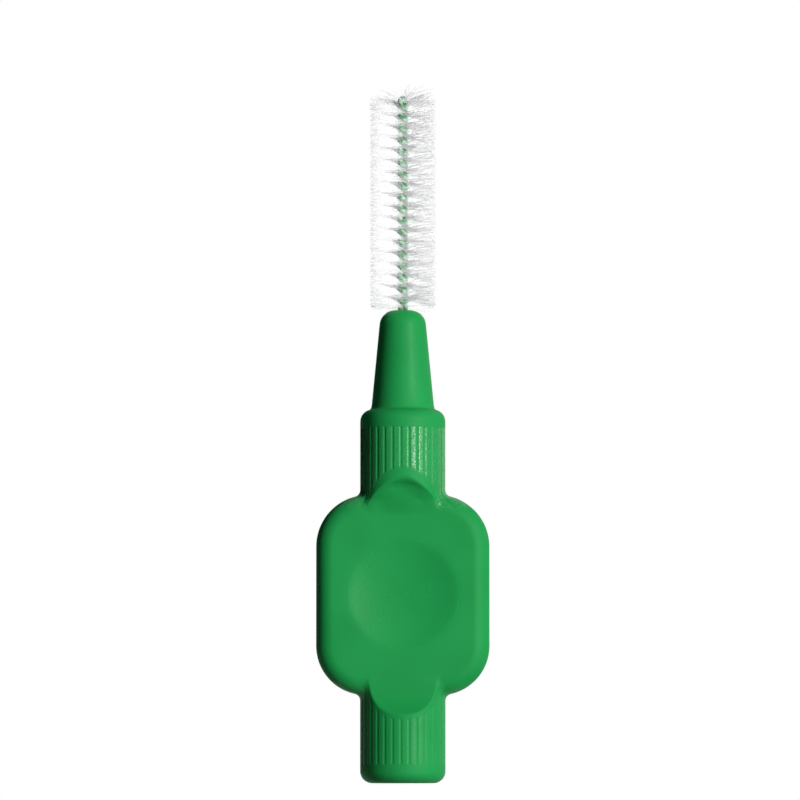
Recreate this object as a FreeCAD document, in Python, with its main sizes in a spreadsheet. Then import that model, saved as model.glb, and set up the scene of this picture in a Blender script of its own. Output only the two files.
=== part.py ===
import FreeCAD, Part
import math
import os
import Sketcher

# Interdental brush: a moulded handle holds a twisted wire, and the wire pinches rows of filaments.
# The origin is the middle of the tail's end face. +Z runs up the wire, the grip plate is wide
# along X and its two flat faces look along -Y and +Y. Millimetres.

V = FreeCAD.Vector

# Driving dimensions: name, value, what it is
handleSizes = [
    ("tailLength", 6.75, "tail post, from its end face to the plate"),
    ("plateLength", 15.33, "grip plate along the wire"),
    ("neckLength", 6.58, "neck, from the plate to its shoulder"),
    ("noseLength", 7.64, "nose, from the shoulder to its tip"),
    ("plateWidth", 13.28, "grip plate across"),
    ("plateThick", 4.0, "grip plate, face to face"),
    ("upperCorner", 3.97, "corner radius of the plate beside the neck"),
    ("lowerCorner", 3.75, "corner radius of the plate beside the tail"),
    ("plateBevel", 0.5, "bevel round both faces of the plate"),
    ("barrelRadius", 3.27, "neck and tail post"),
    ("barrelRound", 0.92, "rounding of the shoulder and of the tail's end"),
    ("noseFootRadius", 2.42, "nose where it leaves the shoulder"),
    ("noseTipRadius", 1.68, "nose cone carried up to its tip"),
    ("noseRound", 1.3, "rounding of the nose tip"),
    ("tailBand", 1.44, "plain band at the tail's end"),
    ("neckBand", 1.47, "plain band under the shoulder"),
    ("fluteWidth", 0.3, "flute at the barrel's surface"),
    ("fluteFloor", 0.14, "flute at its floor"),
    ("fluteDepth", 0.15, "flute below the barrel's surface"),
    ("neckFlatRise", 0.32, "plate face carried up past the plate's top"),
    ("tailFlatDrop", 1.3, "plate face carried down past the plate's foot"),
    ("neckArch", 2.6, "half-round end of the plate face on the neck, seen from the front"),
    ("neckRamp", 2.1, "length of the ramp from that end up to the neck"),
    ("tailRamp", 2.84, "length of the ramp from the plate face to the tail post"),
    ("dishRadius", 4.2, "thumb dish, seen from the front"),
    ("dishDepth", 0.5, "thumb dish below the plate face"),
    ("overrun", 1.0, "how far a cut runs past what it cuts"),
    ("sameGap", 0.001, "places nearer than this are one place"),
]
wireSizes = [
    ("coreDiameter", 0.25, "steel core of one leg"),
    ("skinWall", 0.05, "plastic skin on the core"),
    ("coreClearance", 0.005, "skin around the core"),
    ("legGap", 0.08, "gap between the legs, one filament thick"),
    ("twistPitch", 1.766, "one full turn of the twisted legs"),
    ("anchorDepth", 9.0, "wire held inside the handle"),
    ("buriedTwist", 0.5, "part of the held wire that is twisted"),
    ("boreClearance", 0.02, "handle's bore around the wire"),
    ("wireStandOff", 0.24, "bare wire between the nose tip and the first row"),
    ("loopRise", 0.03, "from the last row to the middle of the tip loop"),
]
filamentSizes = [
    ("brushDiameter", 5.0, "tip to tip across the rows"),
    ("tipSpread", 0.58, "height of a row at the filament tips"),
    ("stemSpread", 0.16, "height of a tuft beside the wire"),
    ("webClearance", 0.03, "between the middle of a tuft and each leg"),
    ("middleClearance", 0.01, "between the middle of one tuft and the next"),
    ("stemClearance", 0.035, "between a tuft's stems and the wire"),
    ("tuftClearance", 0.2, "between one tuft's fan and the next"),
]
counts = [
    ("fluteCount", 32, "flutes round the barrel"),
    ("rowCount", 18, "half-turn rows of filaments"),
    ("skinSides", 6, "flat sides of the skin's section"),
    ("coreSides", 4, "flat sides of the core's section"),
    ("turnSteps", 7.4, "least steps of a leg in one turn"),
    ("loopSteps", 4, "steps of the tip loop"),
    ("tuftCount", 6, "tufts in a row's half turn"),
]
shares = [
    ("rampConvexShare", 0.54, "part of the neck ramp that is convex"),
    ("roundLimitShare", 0.95, "most of its wall that a rounding takes"),
    ("cornerLimitShare", 0.45, "most of the plate that one corner takes"),
]

doc = FreeCAD.newDocument("InterdentalBrush")
sheet = doc.addObject("Spreadsheet::Sheet", "Sizes")
line = 1
for group in (handleSizes, wireSizes, filamentSizes, counts, shares):
    for alias, value, note in group:
        sheet.set(f"A{line}", alias)
        sheet.set(f"B{line}", str(value))
        sheet.set(f"C{line}", note)
        sheet.setAlias(f"B{line}", alias)
        line += 1
doc.recompute()


def size(name):
    return float(sheet.get(name))


# Heights and shared sizes of the handle, as expressions on the sheet
plateFoot = "Sizes.tailLength"
plateTop = "(Sizes.tailLength + Sizes.plateLength)"
plateMiddle = "(Sizes.tailLength + Sizes.plateLength / 2)"
shoulder = f"({plateTop} + Sizes.neckLength)"
noseTip = f"({shoulder} + Sizes.noseLength)"
halfPlate = "(Sizes.plateThick / 2)"
rampDrop = f"(Sizes.barrelRadius - {halfPlate})"
archMiddle = f"({plateTop} + Sizes.neckFlatRise - Sizes.neckArch)"


def rampRadius(length):
    # an arc that leaves one upright tangentially and drops by rampDrop over the length
    return f"(({length} ^ 2 + {rampDrop} ^ 2) / (2 * {rampDrop}))"


def originPart(body, role):
    return next(part for part in body.Origin.OriginFeatures if part.Role == role)


def newSketch(body, name, role, height=None):
    sketch = body.newObject("Sketcher::SketchObject", name)
    sketch.AttachmentSupport = [(originPart(body, role), "")]
    sketch.MapMode = "FlatFace"
    if height:
        sketch.setExpression("AttachmentOffset.Base.z", height)
    return sketch


def pinPoint(sketch, edge, end, across, up):
    # ties one end of a line or arc to its place from the sketch's origin
    for text, kind, axis in ((across, "DistanceX", -2), (up, "DistanceY", -1)):
        if text == "0":
            sketch.addConstraint(Sketcher.Constraint("PointOnObject", edge, end, axis))
            continue
        value = float(sketch.evalExpression(text))
        number = sketch.addConstraint(Sketcher.Constraint(kind, -1, 1, edge, end, value))
        sketch.setExpression(f"Constraints[{number}]", text)


def closedOutline(sketch, corners):
    # (across, up) starts a straight side; (across, up, radius, turn) starts an arc that turns
    # left (1) or right (-1) on its way to the next corner
    points = []
    for corner in corners:
        across, up = (float(sketch.evalExpression(text)) for text in corner[:2])
        points.append(V(across, up, 0))
    first = sketch.GeometryCount
    ends = []
    for number, corner in enumerate(corners):
        here = points[number]
        there = points[(number + 1) % len(points)]
        if len(corner) == 2:
            sketch.addGeometry(Part.LineSegment(here, there))
            ends.append((1, 2))
            continue
        radius = float(sketch.evalExpression(corner[2]))
        turn = corner[3]
        half = (there - here) * 0.5
        reach = math.sqrt(max(radius ** 2 - half.Length ** 2, 0))
        centre = here + half + V(-half.y, half.x, 0).normalize() * (reach * turn)
        arcEnds = (here, there) if turn > 0 else (there, here)
        angles = [math.atan2(point.y - centre.y, point.x - centre.x) for point in arcEnds]
        sketch.addGeometry(Part.ArcOfCircle(Part.Circle(centre, V(0, 0, 1), radius), *angles))
        ends.append((1, 2) if turn > 0 else (2, 1))
    for number in range(len(corners)):
        after = (number + 1) % len(corners)
        last, start = ends[number][1], ends[after][0]
        sketch.addConstraint(Sketcher.Constraint("Coincident", first + number, last, first + after, start))
    for number, corner in enumerate(corners):
        pinPoint(sketch, first + number, ends[number][0], corner[0], corner[1])
        if len(corner) > 2:
            radius = Sketcher.Constraint("Radius", first + number, float(sketch.evalExpression(corner[2])))
            sketch.setExpression(f"Constraints[{sketch.addConstraint(radius)}]", corner[2])


def checkCut(feature, before):
    doc.recompute()
    if not feature.Shape.Volume < before:
        raise RuntimeError(f"{feature.Name} cuts nothing")


def dressEdges(body, kind, name, measure, test):
    # rounds or bevels the edges of the body so far that pass the test
    doc.recompute()
    base = body.Tip
    names = [f"Edge{number}" for number, edge in enumerate(base.Shape.Edges, 1) if test(edge)]
    if not names:
        raise RuntimeError(f"{name} finds no edge")
    edges = body.newObject(f"PartDesign::{kind}", name)
    edges.Base = (base, names)
    edges.setExpression("Radius" if kind == "Fillet" else "Size", measure)
    doc.recompute()


def same(first, second):
    return abs(first - second) < size("sameGap")


def circleAt(edge, radius, height):
    # a circle round the wire's line
    if not isinstance(edge.Curve, Part.Circle):
        return False
    return same(edge.Curve.Radius, radius) and same(edge.Curve.Center.z, height)


def makePlate(body):
    value = body.evalExpression
    sketch = newSketch(body, "PlateOutline", "XZ_Plane")
    half = "Sizes.plateWidth / 2"
    closedOutline(sketch, [
        (f"-{half}", plateFoot),
        (half, plateFoot),
        (half, plateTop),
        (f"-{half}", plateTop),
    ])
    pad = body.newObject("PartDesign::Pad", "Plate")
    pad.Profile = sketch
    pad.SideType = "Symmetric"
    pad.setExpression("Length", "Sizes.plateThick")

    def standsAt(height):
        def test(edge):
            first, last = edge.Vertexes[0].Point, edge.Vertexes[-1].Point
            return same(first.z, height) and same(last.z, height) and same(first.x, last.x)
        return test

    limit = "min(Sizes.plateWidth; Sizes.plateLength) * Sizes.cornerLimitShare"
    upper, lower = (f"min(Sizes.{corner}; {limit})" for corner in ("upperCorner", "lowerCorner"))
    dressEdges(body, "Fillet", "UpperCorners", upper, standsAt(float(value(plateTop))))
    dressEdges(body, "Fillet", "LowerCorners", lower, standsAt(float(value(plateFoot))))
    faceAt = size("plateThick") / 2
    dressEdges(
        body, "Chamfer", "PlateBevel", f"min(Sizes.plateBevel; {halfPlate} * Sizes.roundLimitShare)",
        lambda edge: all(same(abs(vertex.Point.y), faceAt) for vertex in edge.Vertexes))


def makeBarrel(body):
    value = body.evalExpression
    sketch = newSketch(body, "BarrelProfile", "XZ_Plane")
    closedOutline(sketch, [
        ("0", "0"),
        ("Sizes.barrelRadius", "0"),
        ("Sizes.barrelRadius", shoulder),
        ("Sizes.noseFootRadius", shoulder),
        ("Sizes.noseTipRadius", noseTip),
        ("0", noseTip),
    ])
    turned = body.newObject("PartDesign::Revolution", "Barrel")
    turned.Profile = sketch
    turned.ReferenceAxis = (sketch, ["V_Axis"])
    turned.Angle = 360
    barrel = size("barrelRadius")
    shoulderHeight = float(value(shoulder))
    shelf = "(Sizes.barrelRadius - Sizes.noseFootRadius)"
    shelfRound = f"min(Sizes.barrelRound; min(Sizes.neckBand; {shelf}) * Sizes.roundLimitShare)"
    dressEdges(
        body, "Fillet", "TailEnd", "min(Sizes.barrelRound; Sizes.tailBand * Sizes.roundLimitShare)",
        lambda edge: circleAt(edge, barrel, 0))
    dressEdges(
        body, "Fillet", "Shoulder", shelfRound,
        lambda edge: circleAt(edge, barrel, shoulderHeight))
    dressEdges(
        body, "Fillet", "NoseTip", "min(Sizes.noseRound; Sizes.noseTipRadius * Sizes.roundLimitShare)",
        lambda edge: circleAt(edge, size("noseTipRadius"), float(value(noseTip))))


def makeFlutes(body):
    # one flute on the neck and one on the tail post, at the front, then all of them round the barrel
    doc.recompute()
    before = body.Shape.Volume
    floorAt = "(Sizes.barrelRadius - Sizes.fluteDepth)"
    mouthAt = "(Sizes.barrelRadius + Sizes.fluteDepth)"
    mouthHalf = "(Sizes.fluteWidth - Sizes.fluteFloor / 2)"
    outline = [
        ("-Sizes.fluteFloor / 2", f"-{floorAt}"),
        (f"-{mouthHalf}", f"-{mouthAt}"),
        (mouthHalf, f"-{mouthAt}"),
        ("Sizes.fluteFloor / 2", f"-{floorAt}"),
    ]
    spans = (
        ("Neck", plateTop, "Sizes.neckLength - Sizes.neckBand"),
        ("Tail", "Sizes.tailBand", "Sizes.tailLength - Sizes.tailBand"),
    )
    cuts = []
    for name, start, length in spans:
        sketch = newSketch(body, f"{name}FluteOutline", "XY_Plane", start)
        closedOutline(sketch, outline)
        cut = body.newObject("PartDesign::Pocket", f"{name}Flute")
        cut.Profile = sketch
        cut.Reversed = True
        cut.setExpression("Length", length)
        checkCut(cut, before)
        before = cut.Shape.Volume
        cuts.append(cut)
    ring = body.newObject("PartDesign::PolarPattern", "Flutes")
    ring.Originals = cuts
    ring.Axis = (originPart(body, "Z_Axis"), [""])
    ring.Angle = 360
    ring.setExpression("Occurrences", "Sizes.fluteCount")
    body.Tip = ring
    checkCut(ring, before)


def bothFaces():
    # the plate face, its surface on the barrel and a place outside it, on both sides
    for side, turn in (("", 1), ("-", -1)):
        outside = f"{side}(Sizes.barrelRadius + Sizes.overrun)"
        yield side, turn, f"{side}{halfPlate}", f"{side}Sizes.barrelRadius", outside


def makeRamps(body):
    # both faces of the plate run out down the tail post
    doc.recompute()
    before = body.Shape.Volume
    flatStart = f"({plateFoot} + Sizes.tailFlatDrop)"
    sketch = newSketch(body, "RampOutline", "YZ_Plane")
    for side, turn, face, surface, outside in bothFaces():
        closedOutline(sketch, [
            (face, archMiddle),
            (outside, archMiddle),
            (outside, f"({flatStart} - Sizes.tailRamp)"),
            (surface, f"({flatStart} - Sizes.tailRamp)", rampRadius("Sizes.tailRamp"), -turn),
            (face, flatStart),
        ])
    cut = body.newObject("PartDesign::Pocket", "Ramps")
    cut.Profile = sketch
    cut.Type = "Length"
    cut.SideType = "Symmetric"
    cut.setExpression("Length", "2 * (Sizes.barrelRadius + Sizes.overrun)")
    checkCut(cut, before)


def makeArches(body):
    # on the neck, both faces end in an arch: a half-round hollow ramp turned about the arch's middle
    before = body.Shape.Volume
    flatEnd = f"({archMiddle} + Sizes.neckArch)"
    neckRadius = rampRadius("Sizes.neckRamp")
    sketch = newSketch(body, "ArchOutline", "YZ_Plane")
    for side, turn, face, surface, outside in bothFaces():
        bendDepth = f"{side}({halfPlate} + {rampDrop} * (1 - Sizes.rampConvexShare))"
        bendHeight = f"({flatEnd} + Sizes.neckRamp * (1 - Sizes.rampConvexShare))"
        closedOutline(sketch, [
            (face, flatEnd, f"({neckRadius} * (1 - Sizes.rampConvexShare))", -turn),
            (bendDepth, bendHeight, f"({neckRadius} * Sizes.rampConvexShare)", turn),
            (surface, f"({flatEnd} + Sizes.neckRamp)"),
            (outside, f"({flatEnd} + Sizes.neckRamp)"),
            (outside, archMiddle),
            (face, archMiddle),
        ])
    height = float(body.evalExpression(archMiddle))
    axis = sketch.addGeometry(Part.LineSegment(V(0, height, 0), V(size("overrun"), height, 0)), True)
    pinPoint(sketch, axis, 1, "0", archMiddle)
    pinPoint(sketch, axis, 2, "Sizes.overrun", archMiddle)
    arch = body.newObject("PartDesign::Groove", "Arches")
    arch.Profile = sketch
    arch.ReferenceAxis = (sketch, ["Axis0"])
    arch.Angle = 180
    arch.Midplane = True
    checkCut(arch, before)


def makeDishes(body):
    before = body.Shape.Volume
    ball = "((Sizes.dishRadius ^ 2 + Sizes.dishDepth ^ 2) / (2 * Sizes.dishDepth))"
    for name, side in (("FrontDish", "-"), ("RearDish", "")):
        dish = body.newObject("PartDesign::SubtractiveSphere", name)
        dish.AttachmentSupport = [(originPart(body, "XY_Plane"), "")]
        dish.MapMode = "FlatFace"
        dish.setExpression("Radius", ball)
        dish.setExpression("AttachmentOffset.Base.y", f"{side}({halfPlate} - Sizes.dishDepth + {ball})")
        dish.setExpression("AttachmentOffset.Base.z", plateMiddle)
        checkCut(dish, before)
        before = dish.Shape.Volume


legRadiusText = "(Sizes.coreDiameter / 2 + Sizes.coreClearance + Sizes.skinWall)"
wireRadiusText = f"(2 * {legRadiusText} + Sizes.legGap / 2)"


def makeBore(body):
    before = body.Shape.Volume
    bore = body.newObject("PartDesign::SubtractiveCylinder", "WireBore")
    bore.AttachmentSupport = [(originPart(body, "XY_Plane"), "")]
    bore.MapMode = "FlatFace"
    bore.setExpression("Radius", f"{wireRadiusText} + Sizes.boreClearance")
    bore.setExpression("Height", "Sizes.anchorDepth + Sizes.overrun")
    bore.setExpression("AttachmentOffset.Base.z", f"{noseTip} - Sizes.anchorDepth")
    checkCut(bore, before)


handle = doc.addObject("PartDesign::Body", "Handle")
handle.Label = "handle"
makePlate(handle)
makeBarrel(handle)
makeFlutes(handle)
makeRamps(handle)
makeArches(handle)
makeDishes(handle)
makeBore(handle)

# The wire: one hairpin, its two legs twisted round each other left-handed above a straight tail
legRadius = float(handle.evalExpression(legRadiusText))
wireRadius = float(handle.evalExpression(wireRadiusText))
legOffset = wireRadius - legRadius
tipHeight = float(handle.evalExpression(noseTip))
tailEnd = tipHeight - size("anchorDepth")
twistStart = tipHeight - size("buriedTwist")
rowPitch = size("twistPitch") / 2
firstRow = tipHeight + size("wireStandOff")
lastRowTop = firstRow + rowPitch * size("rowCount")
twistEnd = lastRowTop


def legAngle(height):
    # the first leg's place round the wire; the filaments stand a quarter turn from it
    return -2 * math.pi * (height - firstRow) / size("twistPitch")


def round3(angle, radius, height):
    return V(radius * math.cos(angle), radius * math.sin(angle), height)


def legPoints():
    # the middle of the wire's one strand: up the first leg, over the tip loop, down the second
    turns = (twistEnd - twistStart) / size("twistPitch")
    steps = math.ceil(turns * size("turnSteps"))
    up = [round3(legAngle(twistStart), legOffset, tailEnd)]
    for step in range(steps + 1):
        height = twistStart + (twistEnd - twistStart) * step / steps
        up.append(round3(legAngle(height), legOffset, height))
    loopHeight = twistEnd + size("loopRise")
    over = []
    for step in range(1, int(size("loopSteps"))):
        lift = math.pi * step / size("loopSteps")
        level = loopHeight + legOffset * math.sin(lift)
        over.append(round3(legAngle(twistEnd), legOffset * math.cos(lift), level))
    down = [V(-point.x, -point.y, point.z) for point in reversed(up)]
    return up + over + down


def strand(points, radius, sides):
    # straight runs of a flat-sided section, mitred where two runs meet
    runs = [(end - start).normalize() for start, end in zip(points, points[1:])]
    turns = [(before + after).normalize() for before, after in zip(runs, runs[1:])]
    mitres = [runs[0]] + turns + [runs[-1]]
    outward = V(points[0].x, points[0].y, 0).normalize()
    sideways = runs[0].cross(outward)
    ring = []
    for side in range(sides):
        angle = 2 * math.pi * (side + 0.5) / sides
        across = outward * math.cos(angle) + sideways * math.sin(angle)
        ring.append(points[0] + across * radius)
    faces = [Part.Face(Part.makePolygon(ring + ring[:1]))]
    for point, run, mitre in zip(points[1:], runs, mitres[1:]):
        mitred = [corner + run * ((point - corner).dot(mitre) / run.dot(mitre)) for corner in ring]
        for side in range(sides):
            flat = [ring[side - 1], ring[side], mitred[side], mitred[side - 1], ring[side - 1]]
            faces.append(Part.Face(Part.makePolygon(flat)))
        ring = mitred
    faces.append(Part.Face(Part.makePolygon(ring + ring[:1])))
    shell = Part.Shell(faces)
    shell.sewShape()
    return Part.Solid(shell)


def extended(points, length):
    # the same strand with both cut ends carried further down
    drop = V(0, 0, -length)
    return [points[0] + drop] + points[1:-1] + [points[-1] + drop]


def addSolid(label, shape, height=0):
    piece = doc.addObject("Part::Feature", "".join(word.capitalize() for word in label.split("_")))
    piece.Label = label
    piece.Shape = shape
    piece.Placement = FreeCAD.Placement(V(0, 0, height), FreeCAD.Rotation())
    return piece


def leastGap(points):
    # the narrowest space between the legs' surfaces, leg against leg up to the tip loop
    legLength = (len(points) - int(size("loopSteps")) + 1) // 2
    first = points[:legLength]
    second = points[-legLength:]
    return min((one - other).Length for one in first for other in second) - 2 * legRadius


points = legPoints()
print("least gap of the wire to itself", round(leastGap(points), 3))
coreRadius = size("coreDiameter") / 2
coreSides = int(size("coreSides"))
skin = strand(points, legRadius, int(size("skinSides")))
skin = skin.cut(strand(extended(points, size("overrun")), coreRadius + size("coreClearance"), coreSides))
addSolid("wire_core", strand(points, coreRadius, coreSides))
addSolid("wire_skin", skin)


def tuft(angle, height):
    # filaments laid straight across the wire: a flat middle between the legs and a fan on each side
    stemAt = wireRadius + size("stemClearance")
    halfStep = math.pi / size("tuftCount") / 2
    tipAt = size("brushDiameter") / 2 * math.cos(halfStep)
    tipHalf = tipAt * math.tan(halfStep) - size("tuftClearance") / 2
    stemHalf = tipHalf * stemAt / tipAt
    stemUp = size("stemSpread") / 2
    tipUp = size("tipSpread") / 2
    stemEnd = (-stemHalf, stemAt, -stemUp, -tipUp, -tipHalf)
    fan = Part.makeWedge(*stemEnd, stemHalf, tipAt, stemUp, tipUp, tipHalf)
    otherFan = fan.copy()
    otherFan.rotate(V(0, 0, 0), V(0, 0, 1), 180)
    middleWide = size("legGap") - 2 * size("webClearance")
    middleLong = 2 * stemAt + size("stemSpread")
    middleHigh = rowPitch / size("tuftCount") - size("middleClearance")
    corner = V(-middleWide / 2, -middleLong / 2, -middleHigh / 2)
    shape = Part.makeBox(middleWide, middleLong, middleHigh, corner).fuse([fan, otherFan])
    shape.rotate(V(0, 0, 0), V(0, 0, 1), math.degrees(angle) - 90)
    shape.translate(V(0, 0, height))
    return shape.Solids[0]


def rowOfTufts():
    # half a turn of tufts; the row above starts where it ends, so one shape serves every row
    middle = legAngle(firstRow + rowPitch / 2) + math.pi / 2
    tufts = []
    for number in range(int(size("tuftCount"))):
        step = (number + 0.5) / size("tuftCount") - 0.5
        tufts.append(tuft(middle - math.pi * step, rowPitch * step))
    return Part.makeCompound(tufts)


rowShape = rowOfTufts()
for number in range(int(size("rowCount"))):
    addSolid(f"bristle_row_{number + 1:02d}", rowShape, firstRow + rowPitch * (number + 0.5))

doc.recompute()
parts = [piece for piece in doc.Objects if piece.TypeId in ("PartDesign::Body", "Part::Feature")]
for piece in doc.Objects:
    if "Invalid" in piece.State or "Error" in piece.State:
        raise RuntimeError(f"{piece.Label} failed: {piece.State}")
for piece in parts:
    if piece.Shape.isNull() or not piece.Shape.isValid():
        raise RuntimeError(f"{piece.Label} has no valid shape")
os.makedirs("parts", exist_ok=True)
for piece in parts:
    piece.Shape.exportStep(f"parts/{piece.Label}.step")
    print(piece.Label, len(piece.Shape.Solids), round(piece.Shape.Volume, 4))
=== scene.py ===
import math
import random
import bmesh
import bpy
import numpy as np
from mathutils import Matrix, Vector


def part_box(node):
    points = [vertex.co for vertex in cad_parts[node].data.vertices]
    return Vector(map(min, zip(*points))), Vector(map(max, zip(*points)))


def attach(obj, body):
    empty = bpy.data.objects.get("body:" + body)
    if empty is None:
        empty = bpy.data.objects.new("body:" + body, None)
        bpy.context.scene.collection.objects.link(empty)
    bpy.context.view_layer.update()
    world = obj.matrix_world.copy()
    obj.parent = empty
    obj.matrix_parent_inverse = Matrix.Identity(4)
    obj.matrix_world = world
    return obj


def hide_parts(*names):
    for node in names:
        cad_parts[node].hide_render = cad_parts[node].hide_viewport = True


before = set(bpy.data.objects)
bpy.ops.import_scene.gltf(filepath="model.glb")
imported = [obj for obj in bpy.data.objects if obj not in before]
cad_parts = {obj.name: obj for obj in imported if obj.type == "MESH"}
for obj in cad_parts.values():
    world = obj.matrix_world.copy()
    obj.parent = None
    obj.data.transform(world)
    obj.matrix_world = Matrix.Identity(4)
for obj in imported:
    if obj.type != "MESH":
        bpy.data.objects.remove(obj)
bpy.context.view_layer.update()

# An interdental brush: a moulded green handle, a twisted wire in a green skin and rows of
# clear white filaments. Sizes are millimetres, and mm turns them into Blender's metres.
mm = 0.001
print("frame loaded")


def corners(node):
    low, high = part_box(node)
    return [value / mm for value in low], [value / mm for value in high]


handleHigh = corners("handle")[1]
wireLow = corners("wire_skin")[0]


class Value:                       # a shader socket that Python's own signs work on
    def __init__(self, shader, socket):
        self.shader = shader
        self.socket = socket

    def math(self, operation, *others):
        return self.shader.node("ShaderNodeMath", {"operation": operation}, [self, *others])

    def __add__(self, other):
        return self.math("ADD", other)

    def __sub__(self, other):
        return self.math("SUBTRACT", other)

    def __mul__(self, other):
        return self.math("MULTIPLY", other)

    def __truediv__(self, other):
        return self.math("DIVIDE", other)

    def __rsub__(self, other):
        return self.shader.node("ShaderNodeMath", {"operation": "SUBTRACT"}, [other, self])

    __radd__ = __add__
    __rmul__ = __mul__

    def out(self, name):
        return Value(self.shader, self.socket.node.outputs[name])


class Shader:                      # the nodes of a material or of the world
    def __init__(self, owner):
        self.owner = owner
        owner.use_nodes = True
        self.tree = owner.node_tree
        self.tree.nodes.clear()

    def node(self, kind, settings=None, sockets=()):
        made = self.tree.nodes.new(kind)
        for name, value in (settings or {}).items():
            setattr(made, name, value)
        pairs = sockets.items() if isinstance(sockets, dict) else enumerate(sockets)
        for name, value in pairs:
            if isinstance(value, Value):
                self.tree.links.new(value.socket, made.inputs[name])
            else:
                made.inputs[name].default_value = value
        return Value(self, made.outputs[0]) if len(made.outputs) else None

    def place(self):
        return self.node("ShaderNodeTexCoord").out("Object")

    def attribute(self, name):
        return self.node("ShaderNodeAttribute", {"attribute_name": name}).out("Fac")

    def noise(self, size, detail):          # size in millimetres
        sockets = {"Vector": self.place(), "Scale": 1 / (size * mm), "Detail": detail}
        return self.node("ShaderNodeTexNoise", {"noise_dimensions": "3D"}, sockets)

    def between(self, value, low, high):    # 0 below low, 1 above high, smooth in between
        sockets = {"Value": value, "From Min": low, "From Max": high}
        return self.node("ShaderNodeMapRange", {"interpolation_type": "SMOOTHSTEP"}, sockets)

    def blend(self, factor, first, second):    # the node's numbered sockets here are those for colours
        mixed = self.node("ShaderNodeMix", {"data_type": "RGBA"}, {0: factor, 6: first, 7: second})
        return mixed.out(2)

    def bump(self, height):                 # height in millimetres
        return self.node("ShaderNodeBump", None, {"Height": height, "Distance": mm, "Strength": 1})

    def flat(self, shade):
        return self.node("ShaderNodeBsdfDiffuse", None, {"Color": (shade, shade, shade, 1)})

    def seenRays(self):                     # 1 on rays that the camera sees, reflected ones too
        path = self.node("ShaderNodeLightPath")
        seen = path.out("Is Camera Ray")
        for name in ("Is Glossy Ray", "Is Transmission Ray"):
            seen = seen.math("MAXIMUM", path.out(name))
        return seen

    def finish(self, sockets):
        surface = self.node("ShaderNodeBsdfPrincipled", None, sockets)
        self.node("ShaderNodeOutputMaterial", None, {"Surface": surface})
        return self.owner


def newShader(name):
    return Shader(bpy.data.materials.new(name))


# Handle plastic: matt moulded polypropylene, rubbed glossier on the ribs, with a spark-eroded
# grain in the thumb dishes. Clouds and grain are each the size and detail of a noise.
plastic = {
    "green": (0.0120, 0.303, 0.0690, 1),
    "deepGreen": (0.0095, 0.282, 0.0610, 1),
    "paleGreen": (0.0200, 0.335, 0.0850, 1),
    "clouds": (5.0, 2),
    "cloudRange": (0.35, 0.65),
    "grain": (0.13, 4),
    "grainHeight": 0.003,
    "ribGrainHeight": 0.030,
    "dishGrainHeight": 0.014,
    "roughness": 0.60,
    "roughnessSwing": 0.2,
    "ribGloss": 0.34,
    "ribShine": 0.6,
    "shineRange": (0.42, 0.62),
    "shineRoughness": 0.26,
    "dishGloss": 0.16,
    "specular": 0.13,
}


def makePlastic():
    shader = newShader("handlePlastic")
    clouds = shader.noise(*plastic["clouds"])
    grain = shader.noise(*plastic["grain"])
    worn, dished, ribbed = (shader.attribute(name) for name in ("worn", "dished", "ribbed"))
    cloudy = shader.between(clouds, *plastic["cloudRange"])
    colour = shader.blend(cloudy, plastic["deepGreen"], plastic["green"])
    swing = (grain - 0.5) * plastic["roughnessSwing"]
    gloss = ribbed * plastic["ribGloss"] + dished * plastic["dishGloss"]
    rise = ribbed * plastic["ribGrainHeight"] + dished * plastic["dishGrainHeight"] + plastic["grainHeight"]
    return shader.finish({
        "Base Color": shader.blend(worn * grain, colour, plastic["paleGreen"]),
        "Roughness": plastic["roughness"] + swing - gloss,
        "Specular IOR Level": plastic["specular"],
        "Coat Weight": ribbed * shader.between(grain, *plastic["shineRange"]) * plastic["ribShine"],
        "Coat Roughness": plastic["shineRoughness"],
        "Normal": shader.bump(grain * rise),
    })


# Wire skin: glossier and thinner, with pale patches of painted highlight mottled at random over it
skin = {
    "green": (0.050, 0.190, 0.080, 1),
    # the colour of the painted highlight patches
    "pale": (0.400, 0.600, 0.450, 1),
    "sheenPatches": (0.35, 3),
    "sheenRange": (0.38, 0.68),
    "grain": (0.05, 2),
    "grainHeight": 0.002,
    "roughness": 0.26,
    "roughnessSwing": 0.2,
}


def makeSkin():
    shader = newShader("wireSkinPlastic")
    sheenPatches = shader.noise(*skin["sheenPatches"])
    grain = shader.noise(*skin["grain"])
    # the pale patches are painted highlight, not a colour of the skin; the same noise also swings the
    # roughness
    paintedSheen = shader.between(sheenPatches, *skin["sheenRange"])
    return shader.finish({
        "Base Color": shader.blend(paintedSheen, skin["green"], skin["pale"]),
        "Roughness": skin["roughness"] + (sheenPatches - 0.5) * skin["roughnessSwing"],
        "Normal": shader.bump(grain * skin["grainHeight"]),
    })


# Steel core: drawn wire, inside the skin
steel = {
    "light": (0.62, 0.62, 0.64, 1),
    "dark": (0.42, 0.42, 0.45, 1),
    "draw": (0.03, 4),
    "drawHeight": 0.001,
    "roughness": 0.3,
    "roughnessSwing": 0.15,
}


def makeSteel():
    shader = newShader("drawnSteel")
    draw = shader.noise(*steel["draw"])
    return shader.finish({
        "Base Color": shader.blend(draw, steel["dark"], steel["light"]),
        "Metallic": 1.0,
        "Roughness": steel["roughness"] + draw * steel["roughnessSwing"],
        "Normal": shader.bump(draw * steel["drawHeight"]),
    })


# Filaments: clear white nylon with the skin's green painted onto the stem as painted reflection, and a
# little greyer towards the cut tips
nylon = {
    # painted reflection of the skin's green, for the stem
    "paintedSkinGreen": (0.50, 0.72, 0.54, 1),
    "root": (0.96, 0.955, 0.965, 1),
    "tip": (0.84, 0.84, 0.845, 1),
    "paintedGreenRange": (0.13, 0.22),
    "grain": (0.08, 2),
    "grainHeight": 0.002,
    "roughness": 0.4,
    "roughnessSwing": 0.2,
    "alpha": 0.32,
    "specular": 0.35,
}


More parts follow.
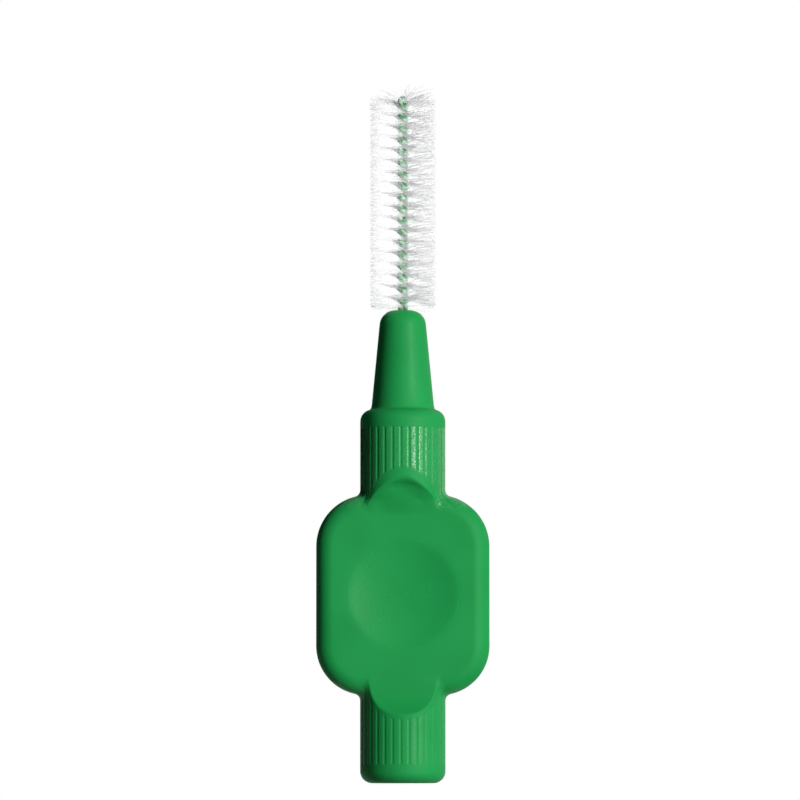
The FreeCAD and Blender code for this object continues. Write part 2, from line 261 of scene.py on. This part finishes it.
def makeNylon():
    shader = newShader("filamentNylon")
    along = shader.attribute("along")
    grain = shader.noise(*nylon["grain"])
    clear = shader.blend(along, nylon["root"], nylon["tip"])
    return shader.finish({
        # the green at the stem is painted reflection of the skin, not dye in the nylon
        "Base Color": shader.blend(shader.between(along, *nylon["paintedGreenRange"]), nylon["paintedSkinGreen"], clear),
        "Roughness": nylon["roughness"] + (grain - 0.5) * nylon["roughnessSwing"],
        "Specular IOR Level": nylon["specular"],
        "Alpha": nylon["alpha"],
        "Normal": shader.bump(grain * nylon["grainHeight"]),
    })


plasticFinish = makePlastic()
skinFinish = makeSkin()
steelFinish = makeSteel()
nylonFinish = makeNylon()
print("materials made")


def addObject(name, data):
    made = bpy.data.objects.new(name, data)
    bpy.context.scene.collection.objects.link(made)
    return made


def addPiece(name, mesh, finish):
    piece = addObject(name, mesh)
    mesh.materials.clear()
    mesh.materials.append(finish)
    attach(piece, "root")
    return piece


def toMesh(name, bm):
    mesh = bpy.data.meshes.new(name)
    bm.to_mesh(mesh)
    bm.free()
    return mesh


# The moulded handle, turned as a fine lathe grid and pressed into its true form
handle = {
    "tailLength": 6.75,
    "plateLength": 15.33,
    "neckLength": 6.58,
    "upperCorner": 3.97,
    "lowerCorner": 3.75,
    "plateThick": 4.0,
    "plateRound": 1.3,
    "barrelRound": 0.92,
    "noseFootRadius": 2.42,
    "noseTipRadius": 1.68,
    "noseRound": 1.18,
    "footFillet": 0.3,
    "boreRadius": 0.42,
    "boreLip": 0.02,
    "boreBevel": 0.03,
    "boreDepth": 9.0,
    # the flutes: where they begin and end, and how they fade out at the plate
    "fluteCount": 32,
    "fluteMouth": 0.28,
    "fluteFloor": 0.02,
    "fluteDepth": 0.042,
    "fluteEnd": 0.09,
    "tailBand": 1.44,
    "neckBand": 1.47,
    "tailFluteStop": 0.34,
    "tailFluteFade": (-0.02, 0.14),
    "neckFluteStop": 2.55,
    "neckFluteDrop": 0.52,
    "plainEnds": (-1.1, -0.9),
    # the flat faces' run-outs into the neck and the tail
    "archDrop": 2.23,
    "neckArch": 2.05,
    "neckRamp": 1.7,
    "rampConvexShare": 0.35,
    "neckSwell": 0.45,
    "swellReach": (-1.7, 0.3),
    "swellBow": 0.16,
    "tailFlatDrop": 1.3,
    "tailRamp": 2.84,
    "neckRampSoft": 0.55,
    "softFade": (0.45, 0.9),
    "tailRampSoft": 0.05,
    # the fillet between the plate and the round parts: at the sides, and on the faces at both ends
    "fillet": 0.5,
    "leastFillet": 0.001,
    "frontFade": (-0.5, -0.02),
    "endFade": (-1.6, -0.5),
    # the thumb dish in both faces
    "dishRadius": 4.2,
    "dishDepth": 0.5,
    "dishLip": 0.1,
    # the finish: the grain's edge, the rubbed edges, and the gloss of the tail's ribs and the nose
    "dishSkin": 0.01,
    "dishMargin": 0.1,
    "wearGain": 3,
    "tailRibGloss": 0.25,
    "noseGloss": 0.08,
    "noseGlossRise": (0.6, 2),
}

# Rows of the lathe grid, closest where the form turns: the share, angle in degrees or distance
# from the plate's end at which a stretch starts or stops, and how many rows it has
lathe = {
    "columnsPerFlute": 11,
    "poleShares": (0, 0.3, 0.6, 0.85),
    "roundRows": 11,
    "shoulderTurn": 76,
    "bandRows": 7,
    "tailRows": 8,
    "belowPlate": (2.1, 0.02),
    "belowPlateRows": 30,
    "lowerTurns": (5, 88),
    "upperTurns": (2, 83),
    "cornerRows": 34,
    "plateRows": 44,
    "abovePlate": (-0.01, 0.6),
    "abovePlateRows": 12,
    "archTop": 3.0,
    "archRows": 36,
    "neckRows": 6,
    "bandStep": 0.2,
    "footShares": (0.25, 0.5, 0.75, 1),
    "footBend": 1.6,
    "footHollow": 0.07,
    "noseRows": 10,
    "tipTurn": 89,
    "tipRows": 13,
    # the columns over the plate, and the search for the surface along a ray
    "sectionTurns": 7201,
    "edgeCrowding": 2.5,
    "plateBlend": (0.25, 2.6),
    "weld": 0.00001,
    "slack": 0.001,
    "farShare": 1.4,
    "halvings": 34,
}
halfWidth, barrelRadius, noseTop = handleHigh
halfThick = handle["plateThick"] / 2
halfLength = handle["plateLength"] / 2
plateFoot = handle["tailLength"]
plateTop = plateFoot + handle["plateLength"]
plateMiddle = (plateFoot + plateTop) / 2
shoulder = plateTop + handle["neckLength"]
fullTurn = 2 * math.pi


def spread(start, end, count):
    return list(np.linspace(start, end, count, endpoint=False))


def cornerTurns(name):
    return np.radians(np.linspace(*lathe[name], lathe["cornerRows"]))


def arcPoints(middle, height, radius, first, last, count):
    turns = np.radians(np.linspace(first, last, count))
    return [(middle + radius * math.cos(turn), height + radius * math.sin(turn)) for turn in turns]


def barrelHeights():
    # rows of the straight stretch from the tail's band to the neck's band
    end, tailBand, neckBand = handle["fluteEnd"], handle["tailBand"], shoulder - handle["neckBand"]
    rampFrom, rampTo = (plateFoot - gap for gap in lathe["belowPlate"])
    lower = plateFoot + handle["lowerCorner"]
    upper = plateTop - handle["upperCorner"]
    topFrom, topTo = (plateTop + gap for gap in lathe["abovePlate"])
    archTop = plateTop + lathe["archTop"]
    heights = spread(tailBand - end, tailBand + end, lathe["bandRows"])
    heights += spread(tailBand + end, rampFrom, lathe["tailRows"])
    heights += spread(rampFrom, rampTo, lathe["belowPlateRows"])
    heights += list(lower - handle["lowerCorner"] * np.cos(cornerTurns("lowerTurns")))
    heights += spread(lower, upper, lathe["plateRows"])
    heights += list(upper + handle["upperCorner"] * np.sin(cornerTurns("upperTurns")))
    heights += spread(topFrom, topTo, lathe["abovePlateRows"])
    heights += spread(topTo, archTop, lathe["archRows"])
    heights += spread(archTop, neckBand - end, lathe["neckRows"])
    heights += spread(neckBand - end, neckBand + end, lathe["bandRows"])
    return heights + [neckBand + lathe["bandStep"]]


def latheProfile():
    # radius and height of each row, from the pole of the tail up to the floor of the wire's bore
    bend, rows = handle["barrelRound"], lathe["roundRows"]
    inner = barrelRadius - bend
    profile = [(share * inner, 0) for share in lathe["poleShares"]]
    profile += arcPoints(inner, bend, bend, -90, 0, rows)
    profile += [(barrelRadius, height) for height in barrelHeights()]
    profile += arcPoints(inner, shoulder - bend, bend, 0, lathe["shoulderTurn"], rows)

    # the nose: a small fillet at its foot, a taper and a round tip
    foot, tip, bend = handle["noseFootRadius"], handle["noseTipRadius"], handle["noseRound"]
    slope = (foot - tip) / (noseTop - shoulder)
    fillet = handle["footFillet"]
    lastRadius, lastHeight = profile[-1]
    for share in lathe["footShares"]:
        radius = lastRadius + (foot - slope * fillet - lastRadius) * share
        hollow = fillet * lathe["footHollow"] * math.sin(math.pi * share)
        height = lastHeight + (shoulder + fillet - lastHeight) * share ** lathe["footBend"]
        profile.append((radius - hollow, height))
    lean = math.atan(slope)
    for height in spread(shoulder + 2 * fillet, noseTop - bend + bend * math.sin(lean), lathe["noseRows"]):
        profile.append((foot - slope * (height - shoulder), height))
    centre = tip + slope * bend - bend / math.cos(lean)
    profile += arcPoints(
        centre, noseTop - bend, bend, math.degrees(lean), lathe["tipTurn"], lathe["tipRows"])

    bore, boreFloor = handle["boreRadius"], noseTop - handle["boreDepth"]
    profile += [(bore + handle["boreLip"], noseTop), (bore, noseTop - handle["boreBevel"])]
    return profile + [(bore, boreFloor), (0, boreFloor)]


def softMin(first, second, reach):
    share = np.clip(0.5 + 0.5 * (second - first) / reach, 0, 1)
    return second + (first - second) * share - reach * share * (1 - share)


def softMax(first, second, reach):
    return -softMin(-first, -second, reach)


def smoothStep(low, high, value):
    share = np.clip((value - low) / (high - low), 0, 1)
    return share * share * (3 - 2 * share)


def roundedGap(first, second, radius):
    # how far outside two walls a place is, when the edge that they share is rounded
    first, second = first + radius, second + radius
    outside = np.hypot(np.maximum(first, 0), np.maximum(second, 0))
    return np.minimum(np.maximum(first, second), 0) + outside - radius


def neckDepth(x, height):
    # how far the faces stand out towards the neck, in a gentle swell and then an arch that is
    # hollow below and crowned above; and how far above the arch's start each place is
    drop = barrelRadius - halfThick - handle["neckSwell"]
    start, end = (plateTop + handle["swellBow"] * x ** 2 + reach for reach in handle["swellReach"])
    swell = handle["neckSwell"] * smoothStep(start, end, height)
    length, convex = handle["neckRamp"], handle["rampConvexShare"]
    radius = (length ** 2 + drop ** 2) / (2 * drop)
    hollow, crown = radius * (1 - convex), radius * convex
    archMiddle = plateTop - handle["archDrop"]
    away = np.where(height > archMiddle, np.hypot(x, height - archMiddle), 0) - handle["neckArch"]
    up = np.clip(away, 0, length)
    lower = hollow - np.sqrt(np.maximum(hollow ** 2 - up ** 2, 0))
    upper = drop - crown + np.sqrt(np.maximum(crown ** 2 - (length - up) ** 2, 0))
    return np.where(up < length * (1 - convex), lower, upper) + swell, away


def tailDepth(height):
    drop, length = barrelRadius - halfThick, handle["tailRamp"]
    radius = (length ** 2 + drop ** 2) / (2 * drop)
    down = np.clip(plateFoot + handle["tailFlatDrop"] - height, 0, length)
    return radius - np.sqrt(radius ** 2 - down ** 2)


def rampDepth(x, height):
    # how far the flat faces and their run-outs stand from the middle, and the softness of their edges
    neck, away = neckDepth(x, height)
    tailEnd = plateFoot + handle["tailFlatDrop"] - handle["tailRamp"]
    beyond = (away >= handle["neckRamp"]) | (height <= tailEnd)
    soft = handle["neckRampSoft"] * (1 - smoothStep(*handle["softFade"], away / handle["neckRamp"]))
    soft = np.where(height > plateMiddle, soft, 0) + handle["tailRampSoft"]
    return halfThick + np.where(beyond, barrelRadius, neck + tailDepth(height)), soft


def fluteCut(turn, height):
    # depth of the flutes, and their rubbed tops: they stop at the bands and fade out at the run-outs;
    # the X axis lies a quarter of a pitch past the middle of a flute
    pitch, end = fullTurn / handle["fluteCount"], handle["fluteEnd"]
    away = np.abs((turn + pitch / 4 + pitch / 2) % pitch - pitch / 2) * barrelRadius
    across = 1 - smoothStep(handle["fluteFloor"] / 2, handle["fluteMouth"] / 2, away)
    along = smoothStep(-end / 2, end / 2, height - handle["tailBand"])
    along *= smoothStep(-end / 2, end / 2, shoulder - handle["neckBand"] - height)
    along *= smoothStep(*handle["plainEnds"], np.abs(height - plateMiddle) - halfLength)

    x, side = barrelRadius * np.cos(turn), barrelRadius * np.abs(np.sin(turn))
    onNeck = height > plateMiddle
    archUp = np.maximum(height - plateTop + handle["neckFluteDrop"], 0)
    neckBare = smoothStep(-end, end, np.hypot(x, archUp) - handle["neckFluteStop"])
    rampGap = rampDepth(x, height + handle["tailFluteStop"])[0] - side
    along *= np.where(onNeck, neckBare, smoothStep(*handle["tailFluteFade"], rampGap))
    tops = along * (1 - across) * np.where(onNeck, 1, handle["tailRibGloss"])
    tops += smoothStep(*handle["noseGlossRise"], height - shoulder) * handle["noseGloss"]
    return handle["fluteDepth"] * across * along, tops


def formGap(radius, turn, height, barrel):
    # below zero inside the handle, above zero outside
    x, y, up = radius * np.cos(turn), np.abs(radius * np.sin(turn)), height - plateMiddle
    pastEnd = np.abs(up) - halfLength
    corner = np.where(up > 0, handle["upperCorner"], handle["lowerCorner"])
    outline = roundedGap(np.abs(x) - halfWidth, pastEnd, corner)
    plate = roundedGap(outline, y - halfThick, handle["plateRound"])
    depth, soft = rampDepth(x, height)
    post = softMax(radius - barrel, y - depth, soft)
    onFace = smoothStep(*handle["frontFade"], y - halfThick)
    betweenEnds = 1 - smoothStep(*handle["endFade"], pastEnd)
    form = softMin(plate, post, handle["fillet"] * (1 - onFace * betweenEnds) + handle["leastFillet"])
    sink = handle["dishDepth"]
    ball = (handle["dishRadius"] ** 2 + sink ** 2) / (2 * sink)
    hollow = ball - np.sqrt(x ** 2 + (y - halfThick + sink - ball) ** 2 + up ** 2)
    return softMax(form, hollow, handle["dishLip"])


def findRadius(turn, height, barrel):
    # the surface along each ray from the wire's line, by halving
    near, far = np.zeros_like(turn), np.full_like(turn, halfWidth * lathe["farShare"])
    for step in range(lathe["halvings"]):
        middle = (near + far) / 2
        outside = formGap(middle, turn, height, barrel) > 0
        far = np.where(outside, middle, far)
        near = np.where(outside, near, middle)
    return (near + far) / 2


def plateTurns():
    # column angles that share the plate's section evenly, with more of them round its edges
    turns = np.linspace(0, fullTurn, lathe["sectionTurns"])
    section = findRadius(turns, np.full_like(turns, plateMiddle), np.full_like(turns, barrelRadius))
    x, y = section * np.cos(turns), section * np.sin(turns)
    edge = handle["plateRound"]
    rounded = (np.abs(x) > halfWidth - edge) & (np.abs(y) > halfThick - edge)
    steps = np.hypot(np.diff(x), np.diff(y)) * np.where(rounded[1:], lathe["edgeCrowding"], 1)
    length = np.concatenate([[0], np.cumsum(steps)])
    return length / length[-1], turns


def latheGrid():
    profile = latheProfile()
    bm = bmesh.new()
    line = [bm.verts.new((radius, 0, height)) for radius, height in profile]
    edges = [bm.edges.new(pair) for pair in zip(line, line[1:])]
    bmesh.ops.spin(
        bm, geom=line + edges, cent=(0, 0, 0), axis=(0, 0, 1), angle=fullTurn,
        steps=handle["fluteCount"] * lathe["columnsPerFlute"], use_merge=True)
    bmesh.ops.remove_doubles(bm, verts=bm.verts, dist=lathe["weld"])
    return bm


def pressForm(bm):
    # moves every point of the grid onto the form, and returns how much of a rubbed rib is there
    places = np.array([vert.co[:] for vert in bm.verts])
    height = places[:, 2]
    reach = np.hypot(places[:, 0], places[:, 1])
    turn = np.arctan2(places[:, 1], places[:, 0]) % fullTurn

    # the columns are even round the barrel, and share out the plate's section
    shares, turns = plateTurns()
    low, high = lathe["plateBlend"]
    inPlate = smoothStep(plateFoot + low, plateFoot + high, height)
    inPlate *= 1 - smoothStep(plateTop - high, plateTop - low, height)
    turn = turn + (np.interp(turn / fullTurn, shares, turns) - turn) * inPlate

    outer = reach > handle["boreRadius"] + 2 * handle["boreLip"]
    pressed = outer & (height > lathe["slack"]) & (height < noseTop - lathe["slack"])
    cut, ribs = fluteCut(turn, height)
    radius = np.where(pressed, findRadius(turn, height, reach - cut), reach)
    for vert, newRadius, newTurn in zip(bm.verts, radius, turn):
        vert.co.x = newRadius * math.cos(newTurn)
        vert.co.y = newRadius * math.sin(newTurn)
    return np.where(pressed, ribs, 0)


def makeHandle():
    bm = latheGrid()
    ribs = pressForm(bm)
    bmesh.ops.recalc_face_normals(bm, faces=bm.faces)

    # the dishes' grain, the rubbed edges and the ribs, for the finish
    layers = bm.verts.layers.float
    for name in ("dished", "worn", "ribbed"):
        layers.new(name)
    dished, worn, ribbed = layers["dished"], layers["worn"], layers["ribbed"]
    grainReach = handle["dishRadius"] + handle["dishMargin"]
    for vert, rib in zip(bm.verts, ribs):
        sunk = abs(vert.co.y) < halfThick - handle["dishSkin"]
        vert[dished] = float(sunk and math.hypot(vert.co.x, vert.co.z - plateMiddle) < grainReach)
        vert[worn] = max(0.0, min(1.0, vert.calc_shell_factor() - 1.0) * handle["wearGain"])
        vert[ribbed] = rib
    bmesh.ops.scale(bm, vec=(mm, mm, mm), verts=bm.verts)
    mesh = toMesh("handle_moulded", bm)
    mesh.shade_smooth()
    piece = addPiece("handle_moulded", mesh, plasticFinish)
    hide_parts("handle")
    print("handle", len(mesh.vertices), "points,", len(mesh.polygons), "faces")


makeHandle()

# The wire: one hairpin of coated wire, its legs twisted left-handed round each other
wire = {
    "legRadius": 0.18,
    "legOffset": 0.22,
    "twistPitch": 1.766,
    "buriedTwist": 0.5,
    "buriedShares": (0, 0.1, 0.5, 0.9),
    "standOff": 0.24,
    "rowCount": 18,
    "pointsPerTurn": 20,
    "bevelSteps": 5,
    "loopRise": 0.03,
    "loopTurns": (40, 65, 90, 115, 140),
}
firstRow = noseTop + wire["standOff"]
rowPitch = wire["twistPitch"] / 2
twistEnd = firstRow + rowPitch * wire["rowCount"]


def legAngle(height):
    return -fullTurn * (height - firstRow) / wire["twistPitch"]


def around(angle, reach, height=0.0):
    return Vector((reach * math.cos(angle), reach * math.sin(angle), height))


def wirePath():
    # straight in the bore, twisted from just below the nose's tip, and folded over at the end
    offset = wire["legOffset"]
    start = noseTop - wire["buriedTwist"]
    count = math.ceil((twistEnd - start) / wire["twistPitch"] * wire["pointsPerTurn"])
    buried = [wireLow[2] + share * (start - wireLow[2]) for share in wire["buriedShares"]]
    leg = [around(legAngle(start), offset, height) for height in buried]
    leg += [around(legAngle(height), offset, height) for height in np.linspace(start, twistEnd, count + 1)]
    loop = []
    for turn in np.radians(wire["loopTurns"]):
        lift = Vector((0, 0, twistEnd + wire["loopRise"] + offset * math.sin(turn)))
        loop.append(around(legAngle(twistEnd), offset * math.cos(turn)) + lift)
    back = [Vector((-point.x, -point.y, point.z)) for point in reversed(leg)]
    return leg + loop + back


def makeWire():
    path = wirePath()
    curve = bpy.data.curves.new("wirePath", "CURVE")
    curve.dimensions = "3D"
    curve.bevel_depth = wire["legRadius"] * mm
    curve.bevel_resolution = wire["bevelSteps"]
    curve.use_fill_caps = True
    spline = curve.splines.new("POLY")
    spline.points.add(len(path) - 1)
    for point, place in zip(spline.points, path):
        point.co = (*(place * mm), 1)
    holder = addObject("wirePath", curve)
    bpy.context.view_layer.update()
    mesh = bpy.data.meshes.new_from_object(holder)
    bpy.data.objects.remove(holder)
    mesh.name = "wire_twisted"
    mesh.shade_smooth()
    piece = addPiece("wire_twisted", mesh, skinFinish)
    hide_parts("wire_skin")
    print("wire", len(path), "points on its path")


makeWire()
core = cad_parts["wire_core"]
core.data.materials.clear()
core.data.materials.append(steelFinish)

# Filaments: each lies straight through the gap between the legs and fans out on both sides
filament = {
    "perRow": 280,
    "radius": 0.0155,
    "sides": 4,
    "rings": (0, 0.16, 0.42, 0.72, 0.975, 1),
    "tipFrom": 0.99,
    "tipShare": 0.5,
    "reach": 2.5,
    "reachSwing": 0.05,
    "grip": 0.34,
    "tipRise": 0.46,
    "riseBend": 0.9,
    "turnSwing": 0.45,
    "bow": 0.04,
    "topHeight": 0.5,
    "topSplay": 0.9,
    "splayRange": (0.3, 1),
    "spacing": (0.2, 0.8),
    "seed": 700,
}


def filamentShape():
    # a thin rod from -1 to 1 along X, one unit thick: placed and bent for every filament
    bm = bmesh.new()
    made = bmesh.ops.create_circle(bm, segments=filament["sides"], radius=1, cap_ends=False)
    bmesh.ops.rotate(bm, verts=made["verts"], matrix=Matrix.Rotation(math.pi / 2, 3, "Y"))
    places = [-share for share in reversed(filament["rings"])] + list(filament["rings"][1:])
    bmesh.ops.translate(bm, verts=made["verts"], vec=(places[0], 0, 0))
    bmesh.ops.contextual_create(bm, geom=list({edge for vert in made["verts"] for edge in vert.link_edges}))
    edges = list(bm.edges)
    for before, after in zip(places, places[1:]):
        grown = bmesh.ops.extrude_edge_only(bm, edges=edges)["geom"]
        verts = [item for item in grown if isinstance(item, bmesh.types.BMVert)]
        edges = [item for item in grown if isinstance(item, bmesh.types.BMEdge)]
        bmesh.ops.translate(bm, verts=verts, vec=(after - before, 0, 0))
    bmesh.ops.contextual_create(bm, geom=edges)
    bmesh.ops.recalc_face_normals(bm, faces=bm.faces)
    return toMesh("filamentShape", bm)


def bendFilament(verts, along, angle, height, top, chance):
    # along: the layer for the finish; top: how near the filament is to the brush's tip
    lengths = [filament["reach"] + chance.gauss(0, filament["reachSwing"]) for side in (0, 1)]
    rises = [chance.uniform(-filament["tipRise"], filament["tipRise"]) for side in (0, 1)]
    swings = [chance.gauss(0, filament["turnSwing"]) for side in (0, 1)]
    bows = [chance.gauss(0, filament["bow"]) for side in (0, 1)]
    if top:
        splay = top * filament["topSplay"]
        rises = [rise + splay * chance.uniform(*filament["splayRange"]) for rise in rises]
    grip = filament["grip"] / filament["reach"]
    for vert in verts:
        share = abs(vert.co.x)
        side = 0 if vert.co.x < 0 else 1
        free = max(0.0, (share - grip) / (1 - grip))
        turn = angle + swings[side] * free + (math.pi if side == 0 else 0)
        level = rises[side] * free ** filament["riseBend"] + bows[side] * math.sin(math.pi * free)
        thick = filament["radius"] * (filament["tipShare"] if share > filament["tipFrom"] else 1)
        across = vert.co.y * thick
        up = vert.co.z * thick
        vert[along] = share
        vert.co = around(turn, lengths[side] * share, height + level + up)
        vert.co += around(turn + math.pi / 2, across)


def makeRow(number, shape):
    chance = random.Random(filament["seed"] + number)
    bm = bmesh.new()
    along = bm.verts.layers.float.new("along")
    count = filament["perRow"]
    for item in range(count):
        before = len(bm.verts)
        bm.from_mesh(shape)
        bm.verts.ensure_lookup_table()
        share = (item + chance.uniform(*filament["spacing"])) / count
        height = firstRow + rowPitch * (number - 1 + share)
        top = max(0.0, 1 - (twistEnd - height) / filament["topHeight"])
        bendFilament(bm.verts[before:], along, legAngle(height) + math.pi / 2, height, top, chance)
    bmesh.ops.scale(bm, vec=(mm, mm, mm), verts=bm.verts)
    name = f"filaments_{number:02d}"
    mesh = toMesh(name, bm)
    mesh.shade_smooth()
    piece = addPiece(name, mesh, nylonFinish)
    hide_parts(f"bristle_row_{number:02d}")
    piece.visible_shadow = False       # clear filaments let the lamps' light through to each other
    return len(mesh.polygons)


shape = filamentShape()
faces = [makeRow(number, shape) for number in range(1, wire["rowCount"] + 1)]
print("filaments", filament["perRow"] * wire["rowCount"], "with", sum(faces), "faces")


# Floor and backdrop: white to the camera, and the floor keeps the object's shadow. A black card
# on the left keeps the left edges deep. Lamps turn from the camera's side towards the right, and
# rise, both in degrees.
studio = {
    "white": (1, 1, 1, 1),
    "fill": 0.025,
    "floorSize": 900,
    "floorDrop": 0.02,
    "floorShade": 0.5,
    "floorLevel": 0.32,
    "floorFade": (25, 140),
    "floorPale": 0.8,
    "floorMatt": 0.1,
    "cardDistance": 330,
    "cardTurns": (-50, -170),
    "cardHeight": 420,
    "cardSteps": 24,
    "cardBlack": 0.01,
    "aimHeight": 27,
}
lamps = {
    "key": {"power": 3.0, "distance": 420, "turn": 38.5, "rise": 4, "width": 110, "height": 260},
    "rear": {"power": 1.8, "distance": 420, "turn": 177, "rise": 14, "width": 160, "height": 160},
}


def addStage(name, bm):
    holder = addObject(name, toMesh(name, bm))
    return holder


def makeFloor():
    # seen rays get white with the floor's own shade mixed in near the object, and the rest a matt grey
    bm = bmesh.new()
    made = bmesh.ops.create_grid(bm, x_segments=1, y_segments=1, size=studio["floorSize"] * mm)
    bmesh.ops.translate(bm, verts=made["verts"], vec=(0, 0, -studio["floorDrop"] * mm))
    floor = addStage("floor", bm)
    shader = newShader("floorWhite")
    away = shader.node("ShaderNodeVectorMath", {"operation": "LENGTH"}, [shader.place()]).out("Value")
    near, far = studio["floorFade"]
    part = (1 - shader.between(away, near * mm, far * mm)) * studio["floorShade"]
    glow = {"Color": studio["white"], "Strength": (1 - part * studio["floorLevel"]) / (1 - part)}
    white = shader.node("ShaderNodeEmission", None, glow)
    pale, matt = shader.flat(studio["floorPale"]), shader.flat(studio["floorMatt"])
    shade = shader.node("ShaderNodeMixShader", None, {0: part, 1: white, 2: pale})
    surface = shader.node("ShaderNodeMixShader", None, {0: shader.seenRays(), 1: matt, 2: shade})
    shader.node("ShaderNodeOutputMaterial", None, {"Surface": surface})
    floor.data.materials.append(shader.owner)


def makeCard():
    # outside the camera's view
    bm = bmesh.new()
    first, last = (math.radians(turn) for turn in studio["cardTurns"])
    way = Vector((math.sin(first), -math.cos(first), 0)) * studio["cardDistance"]
    line = [bm.verts.new(way + Vector((0, 0, height))) for height in (0, studio["cardHeight"])]
    edge = bm.edges.new(line)
    bmesh.ops.spin(
        bm, geom=line + [edge], cent=(0, 0, 0), axis=(0, 0, 1),
        angle=last - first, steps=studio["cardSteps"])
    bmesh.ops.scale(bm, vec=(mm, mm, mm), verts=bm.verts)
    card = addStage("card", bm)
    card.visible_camera = False
    card.visible_transmission = False
    shader = newShader("cardBlack")
    shader.node("ShaderNodeOutputMaterial", None, {"Surface": shader.flat(studio["cardBlack"])})
    card.data.materials.append(shader.owner)


def makeWorld():
    world = bpy.data.worlds.new("studio")
    bpy.context.scene.world = world
    shader = Shader(world)
    dim = shader.node("ShaderNodeBackground", None, {"Color": studio["white"], "Strength": studio["fill"]})
    white = shader.node("ShaderNodeBackground", None, {"Color": studio["white"]})
    surface = shader.node("ShaderNodeMixShader", None, {0: shader.seenRays(), 1: dim, 2: white})
    shader.node("ShaderNodeOutputWorld", None, {"Surface": surface})


def addLamp(name, values):
    turn, rise = math.radians(values["turn"]), math.radians(values["rise"])
    way = Vector((math.sin(turn) * math.cos(rise), -math.cos(turn) * math.cos(rise), math.sin(rise)))
    lamp = bpy.data.lights.new(name, "AREA")
    lamp.shape = "RECTANGLE"
    lamp.size = values["width"] * mm
    lamp.size_y = values["height"] * mm
    lamp.energy = values["power"]
    holder = addObject(name, lamp)
    holder.location = (way * values["distance"] + Vector((0, 0, studio["aimHeight"]))) * mm
    holder.rotation_euler = way.to_track_quat("Z", "Y").to_euler()
    holder.visible_camera = False
    holder.visible_glossy = name == "key"


# Camera: what it aims at and the width of the frame there set the object where the photo has it
camera = {
    "distance": 500,
    "height": 1,
    "aim": (-0.215, 0, 29.403),
    "frameWidth": 61.485,
    "sensor": 36,
    "clipStart": 10,
}


def makeCamera():
    aim = Vector(camera["aim"])
    place = Vector((aim.x, -camera["distance"], camera["height"]))
    data = bpy.data.cameras.new("camera")
    data.sensor_width = camera["sensor"]
    data.lens = camera["sensor"] * (aim - place).length / camera["frameWidth"]
    data.clip_start = camera["clipStart"] * mm
    holder = addObject("camera", data)
    holder.location = place * mm
    holder.rotation_euler = (aim - place).to_track_quat("-Z", "Y").to_euler()
    bpy.context.scene.camera = holder


makeFloor()
makeCard()
makeWorld()
for name, values in lamps.items():
    addLamp(name, values)
makeCamera()
bpy.context.scene.view_settings.view_transform = "Standard"
print("studio set")
